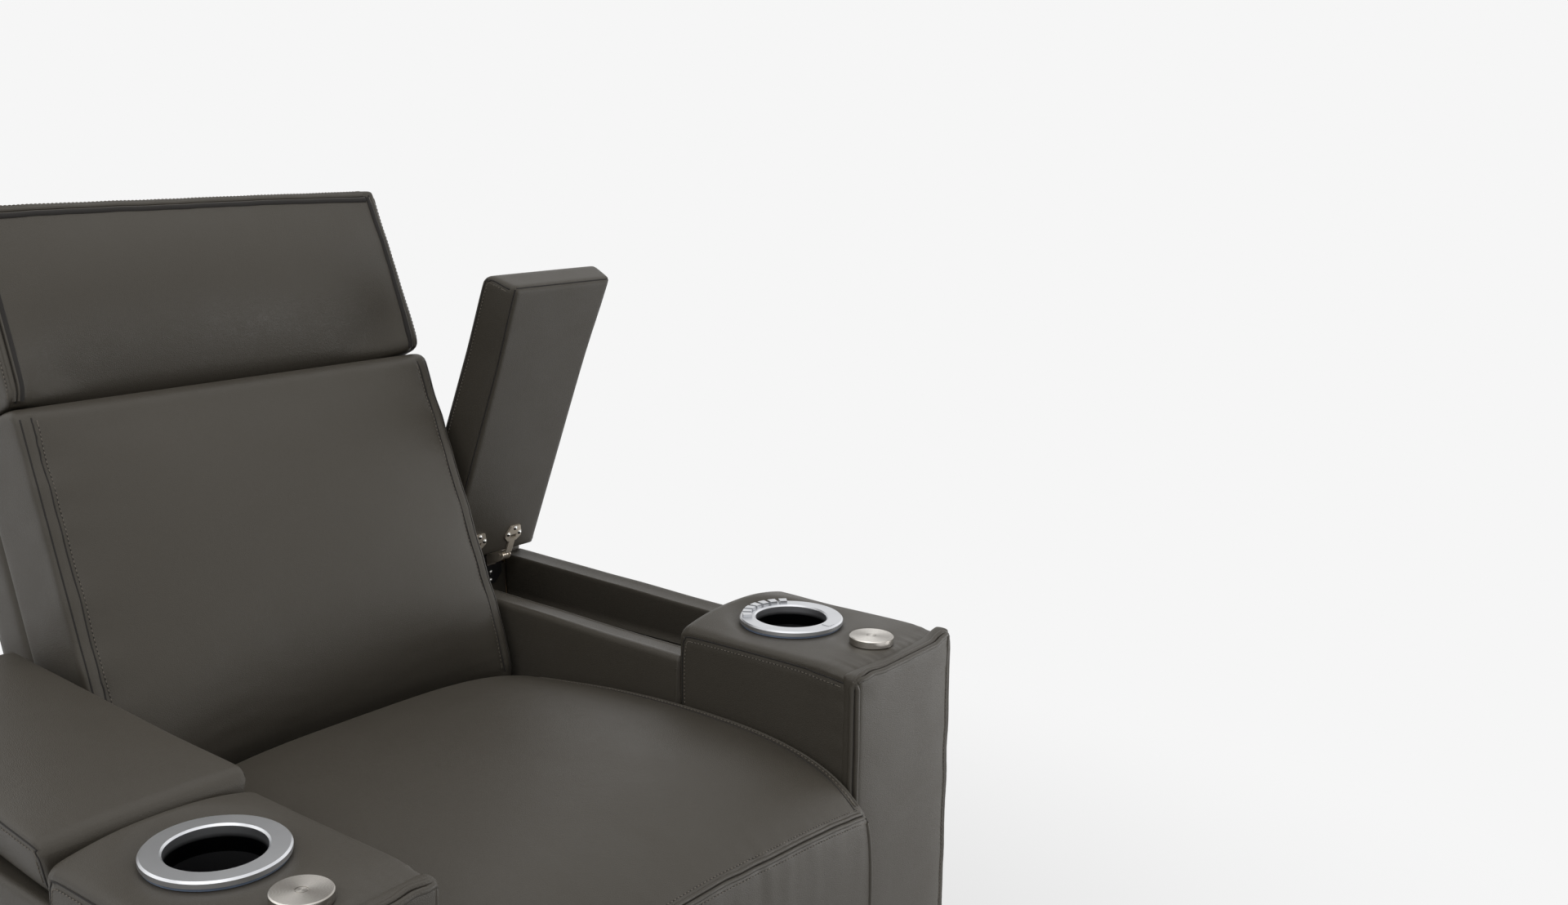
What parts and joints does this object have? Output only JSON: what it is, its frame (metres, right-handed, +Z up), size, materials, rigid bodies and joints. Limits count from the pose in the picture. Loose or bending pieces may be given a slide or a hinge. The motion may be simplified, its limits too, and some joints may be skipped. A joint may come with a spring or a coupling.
{
  "type": "theater chair",
  "caption": "Powered leather theater recliner with cup-holder arms, lidded arm storage, folding footrest and tilting headrest.",
  "frame": {"origin": "on the floor under the middle of the chair's outline", "axes": "+Z up, -Y towards the front of the seat, +X to the viewer's right when facing the chair"},
  "size_m": [0.942, 0.8902, 1.0902],
  "materials": {
    "leather": "satin",
    "plywood": "matte",
    "black_plastic": "matte",
    "satin_aluminium": "satin",
    "turned_steel": "satin",
    "clear_ring": "gloss",
    "webbing": "matte",
    "plated_steel": "satin",
    "black_steel": "satin"
  },
  "bodies": {
    "chair": {"base_frame": "black_steel", "floor_glides": "black_plastic", "rear_panel": "leather", "power_inlet": "black_plastic", "drive_motor": "black_steel", "arm_frame_right": "plywood", "arm_frame_left": "plywood", "arm_inner_cover_right": "leather", "arm_inner_cover_left": "leather", "arm_outer_cover_right": "leather", "arm_outer_cover_left": "leather", "arm_front_panel_right": "leather", "arm_front_panel_left": "leather", "arm_top_pad_right": "leather", "arm_top_pad_left": "leather", "arm_rear_block_right": "leather", "arm_rear_block_left": "leather", "storage_bin_right": "black_plastic", "storage_bin_left": "black_plastic", "cup_ring_right": "satin_aluminium", "cup_ring_left": "satin_aluminium", "cup_wells": "black_plastic", "cup_light_rings": "clear_ring", "dock_sockets": "black_plastic", "hinge_mounts": "black_steel", "lid_hinge_brackets": "plated_steel", "lid_hinge_pins": "plated_steel", "hinge_bracket_screws": "plated_steel", "seat_frame": "plywood", "seat_webbing": "webbing", "seat_cushion": "leather"},
    "lid_right": {"lid_board_right": "plywood", "lid_pad_right": "leather", "lid_hinge_leaves_right": "plated_steel", "lid_leaf_screws_right": "plated_steel"},
    "lid_left": {"lid_board_left": "plywood", "lid_pad_left": "leather", "lid_hinge_leaves_left": "plated_steel", "lid_leaf_screws_left": "plated_steel"},
    "back": {"back_frame": "black_steel", "back_cushion": "leather", "back_shell": "leather"},
    "headrest": {"headrest_frame": "plywood", "headrest_cushion": "leather", "headrest_shell": "leather"},
    "footrest_drive": {"footrest_drive_links": "black_steel"},
    "footrest_lift": {"footrest_lift_links": "black_steel"},
    "footrest": {"footrest_board": "plywood", "footrest_pad": "leather"},
    "carriage": {"drive_carriage": "black_plastic"},
    "dock_cap_right": {"dock_cap_right": "turned_steel"},
    "dock_cap_left": {"dock_cap_left": "turned_steel"},
    "control_key_1": {"control_key_1": "satin_aluminium"},
    "control_key_2": {"control_key_2": "satin_aluminium"},
    "control_key_3": {"control_key_3": "satin_aluminium"},
    "control_key_4": {"control_key_4": "satin_aluminium"},
    "control_key_5": {"control_key_5": "satin_aluminium"},
    "control_key_6": {"control_key_6": "satin_aluminium"},
    "control_key_7": {"control_key_7": "satin_aluminium"},
    "light_key": {"light_key": "satin_aluminium"}
  },
  "joints": [
    {"name": "lid_right_hinge", "type": "hinge", "parent": "chair", "child": "lid_right", "pos_m": [0.377, 0.23342, 0.59833], "axis": [-1, 0, 0], "range_deg": [-70.44, 0]},
    {"name": "lid_left_hinge", "type": "hinge", "parent": "chair", "child": "lid_left", "pos_m": [-0.377, 0.23342, 0.59833], "axis": [-1, 0, 0], "range_deg": [0, 70.44]},
    {"name": "back_recline", "type": "hinge", "parent": "chair", "child": "back", "pos_m": [0, 0.12102, 0.44], "axis": [-1, 0, 0], "range_deg": [0, 40]},
    {"name": "headrest_tilt", "type": "hinge", "parent": "back", "child": "headrest", "pos_m": [0, 0.2088, 0.89257], "axis": [1, 0, 0], "range_deg": [0, 25]},
    {"name": "footrest_fold", "type": "hinge", "parent": "chair", "child": "footrest_drive", "pos_m": [0, -0.26898, 0.3], "axis": [-1, 0, 0], "range_deg": [0, 130.45]},
    {"name": "footrest_knee", "type": "hinge", "parent": "footrest_drive", "child": "footrest_lift", "pos_m": [0, -0.09293, 0.13688], "axis": [-1, 0, 0], "range_deg": [-115.12, 0]},
    {"name": "footrest_pad_turn", "type": "hinge", "parent": "footrest_lift", "child": "footrest", "pos_m": [0, -0.32698, 0.19], "axis": [-1, 0, 0], "range_deg": [0, 74.67]},
    {"name": "carriage_slide", "type": "slide", "parent": "chair", "child": "carriage", "axis": [0, -1, 0], "range_m": [0, 0.12712]},
    {"name": "dock_cap_right_lift", "type": "slide", "parent": "chair", "child": "dock_cap_right", "axis": [0, 0, 1], "range_m": [0, 0.045]},
    {"name": "dock_cap_left_lift", "type": "slide", "parent": "chair", "child": "dock_cap_left", "axis": [0, 0, 1], "range_m": [0, 0.045]},
    {"name": "control_key_1_press", "type": "slide", "parent": "chair", "child": "control_key_1", "axis": [0, 0, -1], "range_m": [0, 0.0008], "stiffness_N_per_m": 1500},
    {"name": "control_key_2_press", "type": "slide", "parent": "chair", "child": "control_key_2", "axis": [0, 0, -1], "range_m": [0, 0.0008], "stiffness_N_per_m": 1500},
    {"name": "control_key_3_press", "type": "slide", "parent": "chair", "child": "control_key_3", "axis": [0, 0, -1], "range_m": [0, 0.0008], "stiffness_N_per_m": 1500},
    {"name": "control_key_4_press", "type": "slide", "parent": "chair", "child": "control_key_4", "axis": [0, 0, -1], "range_m": [0, 0.0008], "stiffness_N_per_m": 1500},
    {"name": "control_key_5_press", "type": "slide", "parent": "chair", "child": "control_key_5", "axis": [0, 0, -1], "range_m": [0, 0.0008], "stiffness_N_per_m": 1500},
    {"name": "control_key_6_press", "type": "slide", "parent": "chair", "child": "control_key_6", "axis": [0, 0, -1], "range_m": [0, 0.0008], "stiffness_N_per_m": 1500},
    {"name": "control_key_7_press", "type": "slide", "parent": "chair", "child": "control_key_7", "axis": [0, 0, -1], "range_m": [0, 0.0008], "stiffness_N_per_m": 1500},
    {"name": "light_key_press", "type": "slide", "parent": "chair", "child": "light_key", "axis": [0, 0, -1], "range_m": [0, 0.0008], "stiffness_N_per_m": 1500}
  ],
  "couplings": [
    {"joint": "footrest_knee", "follows": "footrest_fold", "ratio": -0.8824},
    {"joint": "footrest_pad_turn", "follows": "footrest_fold", "ratio": 0.57232},
    {"joint": "carriage_slide", "follows": "footrest_fold", "m_per_rad": 0.055831}
  ]
}
